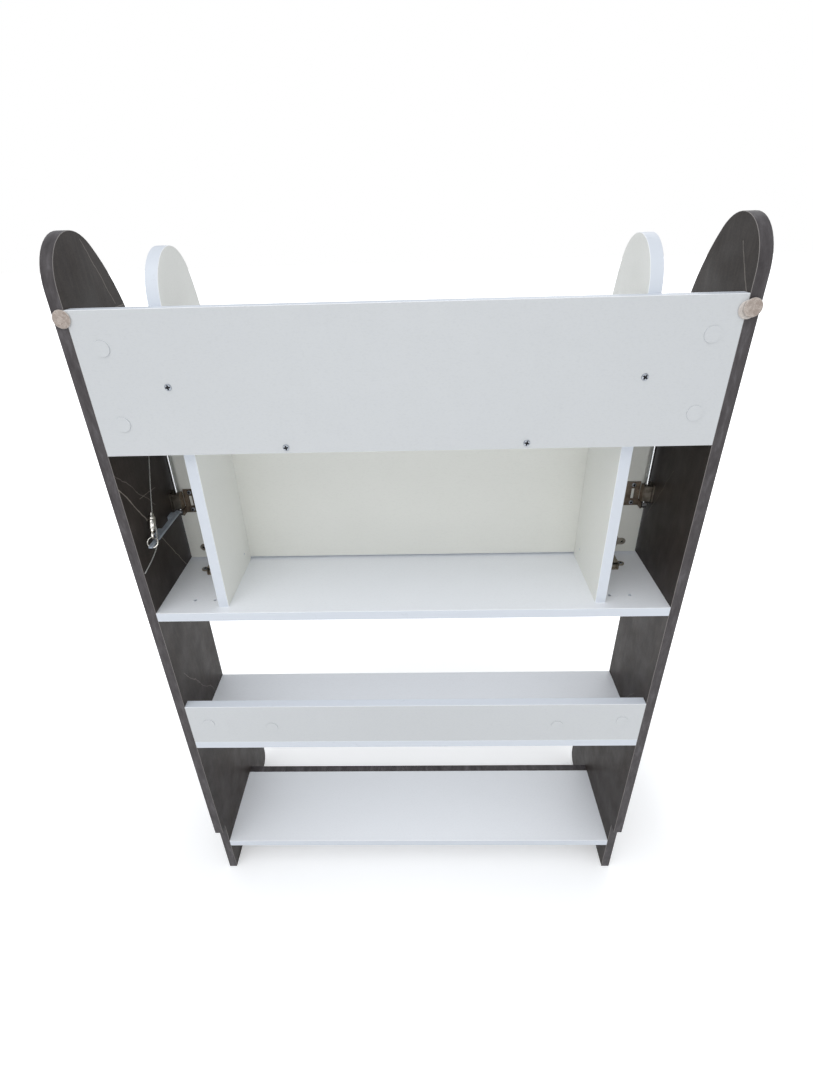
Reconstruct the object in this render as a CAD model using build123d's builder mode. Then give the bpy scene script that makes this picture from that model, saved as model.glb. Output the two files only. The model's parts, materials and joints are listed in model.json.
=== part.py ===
from build123d import *
from math import pi, radians, sqrt, tan
import os

# Fold-down desk.  Millimetres, Z up, X to the right as seen from the rear.
# The rear faces -Y and the flap opens towards +Y.
# Heights in the upper part are measured from the writing surface, depths from the rear plane.

# overall dimensions
INNER_W = 800.0            # clear width between the side panels
BOARD = 16.0               # board thickness
HALF = INNER_W / 2
DESK_Z = 712.0             # height of the writing surface above the floor
UPPER_DEPTH = 176.0        # depth of the upper part
BASE_DEPTH = 305.0         # depth at the foot
TOP_Z = DESK_Z + 530.0     # top of the side panels
PAD_STACK = 6.0            # two felt pads on one another
REAR = -(BASE_DEPTH - PAD_STACK) / 2   # Y of the rear plane, box centred on the origin

# side panel outline
NOTCH = 16.0
NOTCH_Z = 145.0
ARC_REAR = 61.0
ARC_FRONT = 250.0
FLARE_R = 250.0
FLARE_Z = 336.7
SHOULDER_R = 60.0
SHOULDER_Z = 85.0
TOE_R = 25.0

# boards
EDGE = 0.5                 # edge band bevel
DIV_IN = 289.0
DIV_OUT = DIV_IN + BOARD
DIV_FRONT = 160.0
DIV_TOP = 510.0
MID_TOP = -293.6
RAIL_H = 88.0
BOTTOM_TOP = -620.0
SHELF_DEPTH = 176.0
BOTTOM_FRONT = 190.0
PANEL_Z0 = 264.0
PANEL_Z1 = 448.6

# flap
FLAP_GAP = 4.0
FLAP_D0 = 160.0
FLAP_Z0 = 4.0
FLAP_Z1 = 334.0

# concealed hinge
HINGE_X = 345.0
CUP_Z = 25.5
CUP_R = 17.5
CUP_DEPTH = 11.0
CUP_WALL = 0.9
CUP_FIT = 0.05
FLANGE_T = 0.8
LINK_HALF = 4.5
LINK_T = 2.2
LINK_PIVOT = (156.6, 7.2)
LINK_KNEE = (154.5, 22.0)
LINK_NECK = (158.5, 37.5)
LINK_TIP = (167.5, 39.0)
PIN_R = 1.0
PIN_FIT = 0.05
CHEEK = 1.2
ARM_HALF = 6.5

# sliding lid stay
STAY_X = 390.0
STAY_D = 151.0
EYE_Z = 102.0
BLOCK_Z = 124.0
ROD_R = 3.5
ROD_TOP = 294.0
STUD_R = 2.5
STUD_FIT = 0.05
CHANNEL_SIDE = 0.3
CHANNEL_BACK = 0.5

# fittings
CAM_R = 7.5
CAM_DEPTH = 12.4
CAM_FIT = 0.05
BOLT_THREAD = 11.0
DOWEL_R = 4.0
DOWEL_L = 30.0
CAP_R = 10.0
CAP_T = 1.2
SCREW_FIT = 0.1
ACCESSORY_R = 2.5
PAD_R = 11.0
PAD_T = 3.0

# steel cable
CABLE_R = 0.8
CABLE_X = -390.0
GRIP_TOP = (52.0, 153.0)   # depth and height of the upper end of the gripper
GRIP_DIR = (0.45, 0.893)   # direction of the taut run, depth and height
GRIP_L = 29.0
GRIP_R = 5.5
ANCHOR_RUN = 138.0
RING_R = 8.0
RING_WIRE = 1.4

X_AXIS = (1, 0, 0)
Y_AXIS = (0, 1, 0)
Z_AXIS = (0, 0, 1)


def at(x, depth, height):
    """World point from width, depth from the rear and height above the writing surface."""
    return (x, REAR + depth, DESK_Z + height)


def unit(axis, sign):
    """Signed unit vector along a named axis."""
    return tuple(sign * value for value in axis)


def shift(point, direction, distance):
    """Point moved along a direction."""
    return tuple(p + distance * d for p, d in zip(point, direction))


def bore(point, direction, radius, depth):
    """Blind hole entering at a point of a face and going inwards."""
    middle = shift(point, direction, depth / 2 - 0.5)
    with Locations(Plane(origin=middle, z_dir=direction)):
        Cylinder(radius, depth + 1, mode=Mode.SUBTRACT)


def pin(point, direction, radius, length):
    """Round bar starting at a point and running along a direction."""
    with Locations(Plane(origin=shift(point, direction, length / 2), z_dir=direction)):
        Cylinder(radius, length)


def slab(x0, x1, d0, d1, z0, z1, mode=Mode.ADD):
    """Rectangular block between two corners."""
    with Locations(at((x0 + x1) / 2, (d0 + d1) / 2, (z0 + z1) / 2)):
        Box(abs(x1 - x0), abs(d1 - d0), abs(z1 - z0), mode=mode)


def save(builder, label):
    """Name a piece and write it."""
    builder.part.label = label
    export_step(builder.part, "parts/" + label + ".step")


os.makedirs("parts", exist_ok=True)

# joints between boards: point on the seam, direction into the held board,
# outward direction of the face that takes the cam, seam to cam distance
shelf_cams = []
for side in (-1, 1):
    for level, depths in (
        (0.0, (40.0, 136.0)),
        (MID_TOP, (40.0, 136.0)),
        (BOTTOM_TOP, (56.0, 152.0)),
    ):
        for depth in depths:
            seam = at(side * HALF, depth, level - BOARD / 2)
            shelf_cams.append((level, seam, unit(X_AXIS, -side), unit(Z_AXIS, -1), 34.0))

panel_cams = []
rail_cams = []
kick_cams = []
for side in (-1, 1):
    inward = unit(X_AXIS, -side)
    back = unit(Y_AXIS, -1)
    for height in (404.0, 308.0):
        panel_cams.append((0, at(side * HALF, BOARD / 2, height), inward, back, 32.5))
    rail_cams.append((0, at(side * HALF, BOARD / 2, -246.0), inward, back, 35.0))
    rail_cams.append((1, at(side * 253.0, BOARD / 2, MID_TOP), Z_AXIS, back, 38.1))
    kick_cams.append((0, at(side * HALF, BOTTOM_FRONT + BOARD / 2, -672.0), inward, back, 34.0))

all_cams = shelf_cams + panel_cams + rail_cams + kick_cams

# dowels: point on the seam and direction into the held board
dowels = []
for side in (-1, 1):
    inward = unit(X_AXIS, -side)
    for depth, height in (
        (88.0, -BOARD / 2),
        (88.0, MID_TOP - BOARD / 2),
        (104.0, BOTTOM_TOP - BOARD / 2),
        (BOARD / 2, 356.0),
        (BOARD / 2, -274.0),
        (BOTTOM_FRONT + BOARD / 2, -692.0),
    ):
        dowels.append(("side", at(side * HALF, depth, height), inward))
    for depth in (50.0, 126.0):
        dowels.append(("divider", at(side * DIV_IN, depth, PANEL_Z0 + BOARD / 2), inward))

# taut run of the cable and the pieces along it
run = (0.0, GRIP_DIR[0], GRIP_DIR[1])
grip_head = at(CABLE_X, GRIP_TOP[0], GRIP_TOP[1])
grip_foot = shift(grip_head, run, -GRIP_L)
anchor = shift(grip_head, run, ANCHOR_RUN)
ring = shift(grip_foot, run, -RING_R - 9.0)
tongue_z = ring[2] - DESK_Z - (RING_R - RING_WIRE) * run[2]
tongue_d = ring[1] - REAR - (RING_R - RING_WIRE) * run[1]
hanger_hole = shift(anchor, run, -10.0)
bar_places = []
for depth in (70.0, 125.0):
    bar_places.append((at(-HALF + 1.6, depth, tongue_z - 3.5), unit(X_AXIS, -1)))
bar_places.append(((-HALF + 1.6, hanger_hole[1], hanger_hole[2]), unit(X_AXIS, -1)))

divider_screw_depths = (50.0, 130.0)
rear_screw_points = [(side * 297.0, 355.0) for side in (-1, 1)]
rear_screw_points += [(side * 158.5, 272.0) for side in (-1, 1)]


def cut_cam(joint, held):
    """Holes of one cam joint, in the held board or in the board it meets."""
    seam, into, face, distance = joint[1:]
    if held:
        bore(seam, into, 3.6, distance)
        cam_centre = shift(shift(seam, into, distance), face, BOARD / 2)
        bore(cam_centre, unit(face, -1), CAM_R + CAM_FIT, CAM_DEPTH + 0.1)
    else:
        bore(seam, unit(into, -1), 2.5 + SCREW_FIT, BOLT_THREAD + 0.5)


def cut_dowel(seam, direction):
    """Half of a dowel seat."""
    bore(seam, direction, DOWEL_R + SCREW_FIT, DOWEL_L / 2)


def side_panel(side, label):
    """Shaped side: flared foot, rear notch and rounded top."""
    top = TOP_Z - DESK_Z
    rise = sqrt((ARC_FRONT - ARC_REAR) ** 2 - (ARC_REAR - (UPPER_DEPTH - ARC_FRONT)) ** 2)
    rear_arc = (ARC_REAR, top - ARC_REAR)
    front_arc = (UPPER_DEPTH - ARC_FRONT, rear_arc[1] - rise)
    span = sqrt((rear_arc[0] - front_arc[0]) ** 2 + (rear_arc[1] - front_arc[1]) ** 2)
    touch = (
        rear_arc[0] + ARC_REAR * (rear_arc[0] - front_arc[0]) / span,
        rear_arc[1] + ARC_REAR * (rear_arc[1] - front_arc[1]) / span,
    )
    floor = -DESK_Z
    flare = (UPPER_DEPTH + FLARE_R, floor + FLARE_Z)
    shoulder = (BASE_DEPTH - SHOULDER_R, floor + SHOULDER_Z)
    reach = sqrt((flare[0] - shoulder[0]) ** 2 + (flare[1] - shoulder[1]) ** 2)
    blend = (
        shoulder[0] + SHOULDER_R * (flare[0] - shoulder[0]) / reach,
        shoulder[1] + SHOULDER_R * (flare[1] - shoulder[1]) / reach,
    )

    def on_arc(centre, radius, start, end):
        mid = ((start[0] + end[0]) / 2 - centre[0], (start[1] + end[1]) / 2 - centre[1])
        size = sqrt(mid[0] ** 2 + mid[1] ** 2)
        return (centre[0] + radius * mid[0] / size, centre[1] + radius * mid[1] / size)

    def flat(point):
        return (REAR + point[0], DESK_Z + point[1])

    start = HALF if side > 0 else -HALF - BOARD
    rear_top = (0.0, rear_arc[1])
    peak = (rear_arc[0], top)
    front_top = (UPPER_DEPTH, front_arc[1])
    knee = (UPPER_DEPTH, flare[1])
    toe_top = (BASE_DEPTH, shoulder[1])
    toe_low = (BASE_DEPTH, floor + TOE_R)
    toe_end = (BASE_DEPTH - TOE_R, floor)
    toe_mid = on_arc((BASE_DEPTH - TOE_R, floor + TOE_R), TOE_R, toe_low, toe_end)
    with BuildPart() as panel:
        with BuildSketch(Plane.YZ.offset(start)):
            with BuildLine():
                Line(flat((NOTCH, floor)), flat((NOTCH, floor + NOTCH_Z)))
                Line(flat((NOTCH, floor + NOTCH_Z)), flat((0.0, floor + NOTCH_Z)))
                Line(flat((0.0, floor + NOTCH_Z)), flat(rear_top))
                ThreePointArc(
                    flat(rear_top), flat(on_arc(rear_arc, ARC_REAR, rear_top, peak)), flat(peak)
                )
                ThreePointArc(
                    flat(peak), flat(on_arc(rear_arc, ARC_REAR, peak, touch)), flat(touch)
                )
                ThreePointArc(
                    flat(touch),
                    flat(on_arc(front_arc, ARC_FRONT, touch, front_top)),
                    flat(front_top),
                )
                Line(flat(front_top), flat(knee))
                ThreePointArc(
                    flat(knee), flat(on_arc(flare, FLARE_R, knee, blend)), flat(blend)
                )
                ThreePointArc(
                    flat(blend), flat(on_arc(shoulder, SHOULDER_R, blend, toe_top)), flat(toe_top)
                )
                Line(flat(toe_top), flat(toe_low))
                ThreePointArc(flat(toe_low), flat(toe_mid), flat(toe_end))
                Line(flat(toe_end), flat((NOTCH, floor)))
            make_face()
        extrude(amount=BOARD)
        faces = panel.faces().filter_by(Axis.X)
        chamfer(faces.edges(), EDGE)
        for joint in all_cams:
            if joint[1][0] == side * HALF:
                cut_cam(joint, False)
        for kind, seam, inward in dowels:
            if kind == "side" and seam[0] == side * HALF:
                cut_dowel(seam, unit(inward, -1))
        for height in (113.5, 134.5):
            bore(at(side * HALF, STAY_D, height), unit(X_AXIS, side), 1.6 + SCREW_FIT, 10.0)
        if side < 0:
            for place, direction in bar_places:
                bore((-HALF, place[1], place[2]), direction, 1.6 + SCREW_FIT, 10.0)
    save(panel, label)


def divider(side, label):
    """Upright between the desk tray and the outer bay, rounded like the sides."""
    rear_arc = (16.0 + ARC_REAR, DIV_TOP - ARC_REAR)
    front_x = DIV_FRONT - ARC_FRONT
    rise = sqrt((ARC_FRONT - ARC_REAR) ** 2 - (rear_arc[0] - front_x) ** 2)
    front_arc = (front_x, rear_arc[1] - rise)
    span = sqrt((rear_arc[0] - front_arc[0]) ** 2 + rise ** 2)
    touch = (
        rear_arc[0] + ARC_REAR * (rear_arc[0] - front_arc[0]) / span,
        rear_arc[1] + ARC_REAR * rise / span,
    )

    def flat(point):
        return (REAR + point[0], DESK_Z + point[1])

    def on_arc(centre, radius, first, last):
        mid = ((first[0] + last[0]) / 2 - centre[0], (first[1] + last[1]) / 2 - centre[1])
        size = sqrt(mid[0] ** 2 + mid[1] ** 2)
        return (centre[0] + radius * mid[0] / size, centre[1] + radius * mid[1] / size)

    start = DIV_IN if side > 0 else -DIV_OUT
    rear_top = (16.0, rear_arc[1])
    peak = (rear_arc[0], DIV_TOP)
    front_top = (DIV_FRONT, front_arc[1])
    with BuildPart() as upright:
        with BuildSketch(Plane.YZ.offset(start)):
            with BuildLine():
                Line(flat((16.0, 0.0)), flat(rear_top))
                ThreePointArc(
                    flat(rear_top), flat(on_arc(rear_arc, ARC_REAR, rear_top, peak)), flat(peak)
                )
                ThreePointArc(
                    flat(peak), flat(on_arc(rear_arc, ARC_REAR, peak, touch)), flat(touch)
                )
                ThreePointArc(
                    flat(touch),
                    flat(on_arc(front_arc, ARC_FRONT, touch, front_top)),
                    flat(front_top),
                )
                Line(flat(front_top), flat((DIV_FRONT, 0.0)))
                Line(flat((DIV_FRONT, 0.0)), flat((16.0, 0.0)))
            make_face()
        extrude(amount=BOARD)
        chamfer(upright.faces().filter_by(Axis.X).edges().filter_by(Axis.Y, reverse=True), EDGE)
        for kind, seam, inward in dowels:
            if kind == "divider" and seam[0] == side * DIV_IN:
                cut_dowel(seam, unit(inward, -1))
        for depth in divider_screw_depths:
            bore(at(side * 297.0, depth, 0.0), Z_AXIS, 3.5, 36.0)
        bore(at(side * 297.0, 16.0, 355.0), Y_AXIS, 2.0 + SCREW_FIT, 25.0)
        bore(at(side * DIV_IN, 130.0, 28.0), unit(X_AXIS, side), 2.0, 3.0)
    save(upright, label)


def desk_shelf():
    """Fixed writing surface between the sides."""
    with BuildPart() as shelf:
        slab(-HALF, HALF, 0.0, UPPER_DEPTH, -BOARD, 0.0)
        chamfer(shelf.edges().filter_by(Axis.X), EDGE)
        for joint in shelf_cams:
            if joint[0] == 0.0:
                cut_cam(joint, True)
        for side in (-1, 1):
            cut_dowel(at(side * HALF, 88.0, -BOARD / 2), unit(X_AXIS, -side))
            for x in (316.5, 348.5):
                bore(at(side * x, 34.5, 0.0), unit(Z_AXIS, -1), ACCESSORY_R, 12.0)
            for depth in divider_screw_depths:
                bore(at(side * 297.0, depth, -BOARD), Z_AXIS, 3.5, BOARD + 1)
                bore(at(side * 297.0, depth, -BOARD), Z_AXIS, 5.1, 3.2)
            for x in (HINGE_X - 16.0, HINGE_X + 16.0):
                bore(at(side * x, 126.0, 0.0), unit(Z_AXIS, -1), 1.6 + SCREW_FIT, 12.5)
    save(shelf, "desk_shelf")


def lower_shelf(label, level, front, rear, dowel_depth):
    """Fixed shelf below the writing surface."""
    with BuildPart() as shelf:
        slab(-HALF, HALF, rear, front, level - BOARD, level)
        chamfer(shelf.edges().filter_by(Axis.X), EDGE)
        for joint in shelf_cams:
            if joint[0] == level:
                cut_cam(joint, True)
        for side in (-1, 1):
            cut_dowel(at(side * HALF, dowel_depth, level - BOARD / 2), unit(X_AXIS, -side))
        for joint in rail_cams:
            if joint[0] == 1 and level == MID_TOP:
                cut_cam(joint, False)
    save(shelf, label)


def rear_panel():
    """Rear board behind the pigeonholes."""
    with BuildPart() as panel:
        slab(-HALF, HALF, 0.0, BOARD, PANEL_Z0, PANEL_Z1)
        chamfer(panel.edges().filter_by(Axis.X), EDGE)
        for joint in panel_cams:
            cut_cam(joint, True)
        for side in (-1, 1):
            cut_dowel(at(side * HALF, BOARD / 2, 356.0), unit(X_AXIS, -side))
        for x, height in rear_screw_points:
            bore(at(x, 0.0, height), Y_AXIS, 2.0 + SCREW_FIT, BOARD + 1)
    save(panel, "rear_panel")


def top_board():
    """Board over the open niche, between the dividers."""
    with BuildPart() as board:
        slab(-DIV_IN, DIV_IN, BOARD, DIV_FRONT, PANEL_Z0, PANEL_Z0 + BOARD)
        chamfer(board.edges().filter_by(Axis.X).group_by(Axis.Y)[-1], EDGE)
        for side in (-1, 1):
            for depth in (50.0, 126.0):
                seam = at(side * DIV_IN, depth, PANEL_Z0 + BOARD / 2)
                cut_dowel(seam, unit(X_AXIS, -side))
            bore(at(side * 158.5, BOARD, 272.0), Y_AXIS, 2.0 + SCREW_FIT, 25.0)
    save(board, "top_board")


def middle_rail():
    """Stiffening rail standing on the middle shelf at the rear."""
    with BuildPart() as rail:
        slab(-HALF, HALF, 0.0, BOARD, MID_TOP, MID_TOP + RAIL_H)
        chamfer(rail.edges().filter_by(Axis.X).group_by(Axis.Z)[-1], EDGE)
        for joint in rail_cams:
            cut_cam(joint, True)
        for side in (-1, 1):
            cut_dowel(at(side * HALF, BOARD / 2, -274.0), unit(X_AXIS, -side))
    save(rail, "middle_rail")


def kickboard():
    """Plinth board in front of the lowest shelf, down to the floor."""
    front = BOTTOM_FRONT + BOARD
    with BuildPart() as kick:
        slab(-HALF, HALF, BOTTOM_FRONT, front, -DESK_Z, BOTTOM_TOP)
        chamfer(kick.edges().filter_by(Axis.X), EDGE)
        for joint in kick_cams:
            cut_cam(joint, True)
        for side in (-1, 1):
            seam = at(side * HALF, BOTTOM_FRONT + BOARD / 2, -692.0)
            cut_dowel(seam, unit(X_AXIS, -side))
    save(kick, "kickboard")


def flap():
    """Hinged writing flap, standing closed."""
    wide = HALF - FLAP_GAP
    with BuildPart() as leaf:
        slab(-wide, wide, FLAP_D0, UPPER_DEPTH, FLAP_Z0, FLAP_Z1)
        chamfer(leaf.edges(), EDGE)
        for side in (-1, 1):
            bore(at(side * HINGE_X, FLAP_D0, CUP_Z), Y_AXIS, CUP_R + CUP_FIT, CUP_DEPTH)
            for x in (HINGE_X - 24.0, HINGE_X + 24.0):
                bore(at(side * x, FLAP_D0, CUP_Z), Y_AXIS, 1.6 + SCREW_FIT, 11.0)
            for height in (102.5, 134.5):
                bore(at(side * 372.0, FLAP_D0, height), Y_AXIS, 1.6 + SCREW_FIT, 11.0)
    save(leaf, "flap")


def hinge_cup(side, label):
    """Cup with its screw flange, let into the flap."""
    centre = at(side * HINGE_X, FLAP_D0, CUP_Z)
    face = Plane(origin=centre, x_dir=(1, 0, 0), z_dir=(0, 1, 0))
    with BuildPart() as cup:
        with BuildSketch(face.offset(-FLANGE_T)):
            Circle(CUP_R + 1.2)
            SlotOverall(62.0, 13.0)
            Circle(CUP_R - CUP_WALL, mode=Mode.SUBTRACT)
            with Locations((-24.0, 0.0), (24.0, 0.0)):
                Circle(1.6 + SCREW_FIT, mode=Mode.SUBTRACT)
        extrude(amount=FLANGE_T)
        with BuildSketch(face):
            Circle(CUP_R)
            Circle(CUP_R - CUP_WALL, mode=Mode.SUBTRACT)
        extrude(amount=CUP_DEPTH - CUP_WALL)
        with BuildSketch(face.offset(CUP_DEPTH - CUP_WALL)):
            Circle(CUP_R)
        extrude(amount=CUP_WALL)
    save(cup, label)


def hinge_base(side, label):
    """Mounting plate with two wings and the fixing screw of the arm."""
    centre = at(side * HINGE_X, 126.0, 0.0)
    top = Plane(origin=centre, x_dir=(1, 0, 0), z_dir=(0, 0, 1))
    with BuildPart() as base:
        with BuildSketch(top):
            SlotOverall(44.0, 12.0)
            Rectangle(2 * ARM_HALF, 36.0)
            with Locations((-16.0, 0.0), (16.0, 0.0)):
                Circle(1.6 + SCREW_FIT, mode=Mode.SUBTRACT)
        extrude(amount=2.0)
        with BuildSketch(top.offset(2.0)):
            Rectangle(2 * (ARM_HALF - CHEEK) - 0.4, 30.0)
        extrude(amount=6.0)
        with BuildSketch(top.offset(8.0)):
            Circle(2.9)
        extrude(amount=5.4)
        with BuildSketch(top.offset(13.4)):
            with Locations((0.0, 0.0)):
                Rectangle(4.2, 0.9)
        extrude(amount=-0.9, mode=Mode.SUBTRACT)
    save(base, label)


def hinge_arm(side, label):
    """Folded arm over the mounting plate, carrying the pivot pin at its nose."""
    mid = side * HINGE_X
    nose = at(mid, LINK_PIVOT[0], LINK_PIVOT[1])

    def flat(depth, height):
        return (REAR + depth, DESK_Z + height)

    with BuildPart() as arm:
        with BuildSketch(Plane.YZ.offset(mid - ARM_HALF)):
            with BuildLine():
                Polyline(
                    flat(106.0, 2.0),
                    flat(106.0, 9.0),
                    flat(112.0, 13.0),
                    flat(144.0, 13.0),
                    flat(LINK_PIVOT[0] + 0.6, LINK_PIVOT[1] + 1.9),
                    flat(LINK_PIVOT[0] + 0.6, LINK_PIVOT[1] - 1.9),
                    flat(146.0, 2.0),
                    flat(106.0, 2.0),
                )
            make_face()
            with Locations(flat(LINK_PIVOT[0], LINK_PIVOT[1])):
                Circle(2.0)
        extrude(amount=2 * ARM_HALF)
        inner = ARM_HALF - CHEEK
        slab(mid - inner, mid + inner, 100.0, 165.0, 1.0, 13.0 - CHEEK, mode=Mode.SUBTRACT)
        slab(mid - inner, mid + inner, 146.5, 165.0, 1.0, 20.0, mode=Mode.SUBTRACT)
        slab(mid - inner, mid + inner, 100.0, 112.0, 1.0, 20.0, mode=Mode.SUBTRACT)
        bore(at(mid, 126.0, 14.0), unit(Z_AXIS, -1), 3.3, 3.5)
        pin(shift(nose, X_AXIS, -ARM_HALF), X_AXIS, PIN_R, 2 * ARM_HALF)
    save(arm, label)


def hinge_link(side, label):
    """Cranked link from the arm's pivot into the cup."""
    mid = side * HINGE_X

    def flat(point):
        return (REAR + point[0], DESK_Z + point[1])

    with BuildPart() as link:
        with BuildSketch(Plane.YZ.offset(mid - LINK_HALF)):
            with BuildLine() as path:
                FilletPolyline(
                    flat(LINK_PIVOT), flat(LINK_KNEE), flat(LINK_NECK), flat(LINK_TIP), radius=3.0
                )
            trace(path.line, line_width=LINK_T)
            with Locations(flat(LINK_PIVOT)):
                Circle(2.2)
            with Locations(flat(LINK_TIP)):
                Circle(1.3)
            with Locations(flat(LINK_PIVOT)):
                Circle(PIN_R + PIN_FIT, mode=Mode.SUBTRACT)
        extrude(amount=2 * LINK_HALF)
    save(link, label)


def stay_bracket(side, label):
    """Slotted plate on the flap with an ear and the pivot pin of the rod."""
    eye = at(side * 385.5, STAY_D, EYE_Z)
    outward = unit(X_AXIS, side)
    with BuildPart() as bracket:
        slab(side * 361.0, side * 383.0, FLAP_D0 - 2.0, FLAP_D0, 97.0, 140.0)
        slab(side * 383.0, side * 385.5, FLAP_D0 - 2.0, FLAP_D0, 97.0, 108.0)
        slab(side * 383.5, side * 385.5, STAY_D - 5.5, FLAP_D0, 97.0, 107.5)
        for height in (102.5, 134.5):
            bore(at(side * 372.0, FLAP_D0 - 2.0, height), Y_AXIS, 1.6 + SCREW_FIT, 3.0)
        slab(side * 369.5, side * 374.5, 150.0, 170.0, 109.0, 128.0, mode=Mode.SUBTRACT)
        pin(eye, outward, STUD_R, 8.8)
        pin(shift(eye, outward, 8.8), outward, 3.6, 1.2)
    save(bracket, label)


def stay_rod(side, label):
    """Straight rod with an eye on the flap and a stop knob at its free end."""
    eye = at(side * 386.2, STAY_D, EYE_Z)
    outward = unit(X_AXIS, side)
    with BuildPart() as rod:
        pin(eye, outward, 6.0, 7.6)
        pin(at(side * STAY_X, STAY_D, EYE_Z + 3.0), Z_AXIS, ROD_R, ROD_TOP - EYE_Z - 9.0)
        pin(at(side * STAY_X, STAY_D, ROD_TOP - 6.0), Z_AXIS, 5.2, 6.0)
        chamfer(rod.faces().sort_by(Axis.Z)[-1].edges(), 1.0)
        bore(eye, outward, STUD_R + STUD_FIT, 9.0)
    save(rod, label)


def stay_block(side, label):
    """Swivelling brake housing: a channel open to the front that holds the rod."""
    inner = ROD_R + CHANNEL_SIDE
    outward = unit(X_AXIS, side)
    with BuildPart() as block:
        slab(side * 383.5, side * 396.5, 142.0, 157.0, 110.0, 138.0)
        fillet(block.edges().filter_by(Axis.X), 2.5)
        slab(
            side * (STAY_X - inner),
            side * (STAY_X + inner),
            STAY_D - ROD_R - CHANNEL_BACK,
            158.0,
            100.0,
            150.0,
            mode=Mode.SUBTRACT,
        )
        bore(at(side * 396.5, STAY_D, BLOCK_Z), unit(outward, -1), STUD_R + STUD_FIT, 2.8)
        pin(at(side * 383.5, 148.5, BLOCK_Z), unit(outward, -1), 4.0, 1.0)
        slab(side * 382.0, side * 382.9, 145.0, 152.0, 123.5, 124.5, mode=Mode.SUBTRACT)
    save(block, label)


def stay_base(side, label):
    """Side plate with the stud of the brake housing."""
    outward = unit(X_AXIS, side)
    with BuildPart() as base:
        slab(side * 397.2, side * HALF, 141.0, 161.0, 108.0, 140.0)
        fillet(base.edges().filter_by(Axis.X), 3.0)
        pin(at(side * 397.2, STAY_D, BLOCK_Z), unit(outward, -1), STUD_R, 3.2)
        for height in (113.5, 134.5):
            bore(at(side * 397.2, STAY_D, height), outward, 1.6 + SCREW_FIT, 3.0)
    save(base, label)


def pan_screws(label, places, head_r, head_t, shank_r, shank_l):
    """Group of equal screws: point under the head and driving direction."""
    with BuildPart() as screws:
        for point, direction in places:
            pin(point, unit(direction, -1), head_r, head_t)
            pin(point, direction, shank_r, shank_l)
    save(screws, label)


def cam_set(label, joints):
    """Cam housings of a group of joints."""
    with BuildPart() as cams:
        for joint in joints:
            seam, into, face, distance = joint[1:]
            centre = shift(shift(seam, into, distance), face, BOARD / 2)
            pin(centre, unit(face, -1), CAM_R, CAM_DEPTH)
            middle = shift(seam, into, distance + 2.0)
            bore(middle, unit(into, -1), 3.6, 12.0)
    save(cams, label)


def bolt_set(label, joints):
    """Threaded bolts that the cams pull on."""
    with BuildPart() as bolts:
        for joint in joints:
            seam, into, face, distance = joint[1:]
            pin(shift(seam, into, -BOLT_THREAD), into, 2.5, BOLT_THREAD)
            pin(seam, into, 3.0, distance - 4.0)
            pin(shift(seam, into, distance - 4.0), into, 3.4, 4.0)
    save(bolts, label)


def cap_set(label, joints):
    """Round cover caps over the cams."""
    with BuildPart() as caps:
        for joint in joints:
            seam, into, face, distance = joint[1:]
            centre = shift(shift(seam, into, distance), face, BOARD / 2)
            pin(centre, face, CAP_R, CAP_T)
    save(caps, label)


def dowel_set():
    """Wooden dowels across the seams."""
    with BuildPart() as pins:
        for kind, seam, inward in dowels:
            pin(shift(seam, inward, -DOWEL_L / 2), inward, DOWEL_R, DOWEL_L)
    save(pins, "dowels")


def divider_screws():
    """Long screws up through the writing surface into the dividers."""
    with BuildPart() as screws:
        for side in (-1, 1):
            for depth in divider_screw_depths:
                foot = at(side * 297.0, depth, -BOARD)
                pin(foot, Z_AXIS, 3.4, 50.0)
                pin(foot, Z_AXIS, 5.0, 3.0)
    save(screws, "divider_screws")


def felt_pads():
    """Round felt pads on the rear edges of the sides."""
    with BuildPart() as left:
        pin(at(-405.0, 0.0, 439.0), unit(Y_AXIS, -1), PAD_R, PAD_T)
    save(left, "felt_pad_left")
    with BuildPart() as inner:
        pin(at(401.0, 0.0, 431.0), unit(Y_AXIS, -1), PAD_R, PAD_T)
    save(inner, "felt_pad_right")
    with BuildPart() as outer:
        pin(at(405.0, -PAD_T, 433.5), unit(Y_AXIS, -1), PAD_R, PAD_T)
    save(outer, "felt_pad_upper")


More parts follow.
